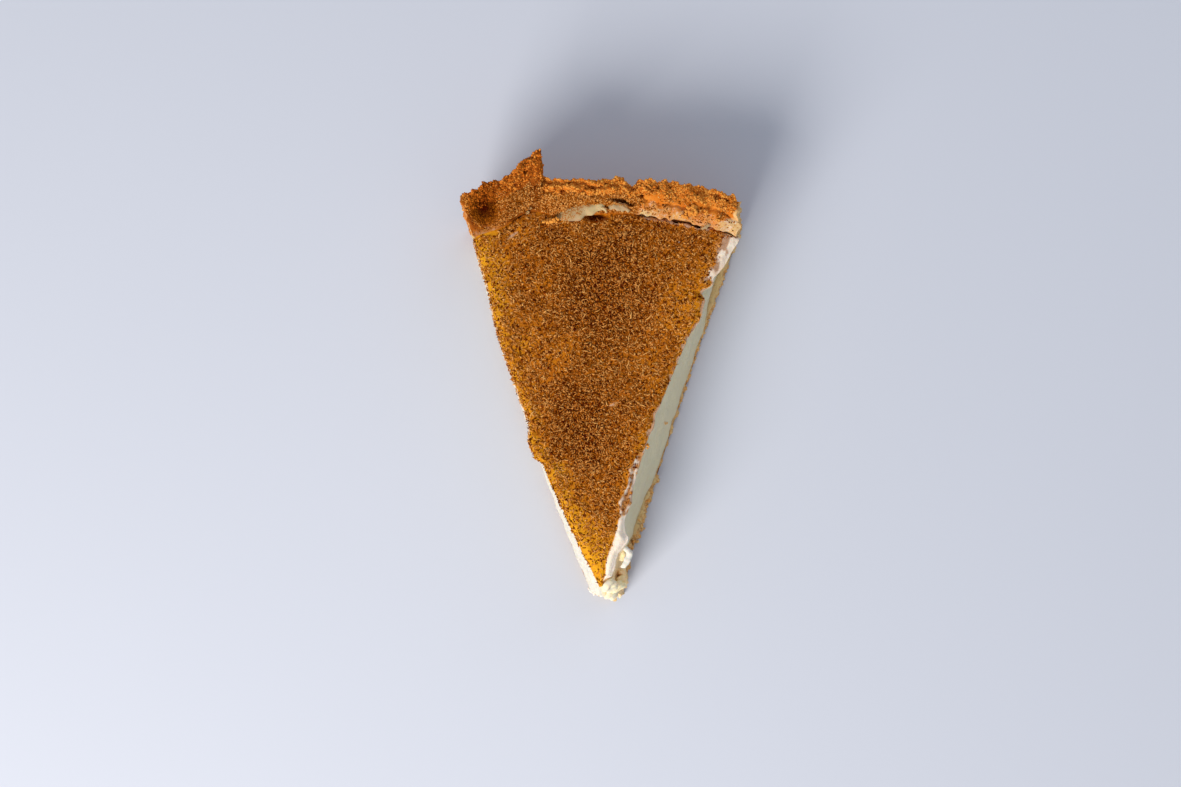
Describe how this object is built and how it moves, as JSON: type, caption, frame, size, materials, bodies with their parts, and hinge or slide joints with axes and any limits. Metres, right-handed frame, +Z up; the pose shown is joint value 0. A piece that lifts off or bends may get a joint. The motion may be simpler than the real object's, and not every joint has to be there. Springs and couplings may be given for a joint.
{
  "type": "milk tart slice",
  "caption": "Wedge of baked custard tart: a shortcrust base and rim round a set milk filling, dusted with ground cinnamon.",
  "frame": {"origin": "centre of the bounding box at the level of the underside", "axes": "+X across the slice to the right, +Y from the tip to the crust, +Z up"},
  "size_m": [0.0806, 0.128, 0.0333],
  "materials": {
    "crust": "matt, crumbly baked shortcrust",
    "custard": "smooth set custard under ground cinnamon"
  },
  "bodies": {
    "root": {"crust": "crust", "custard": "custard"}
  },
  "joints": []
}
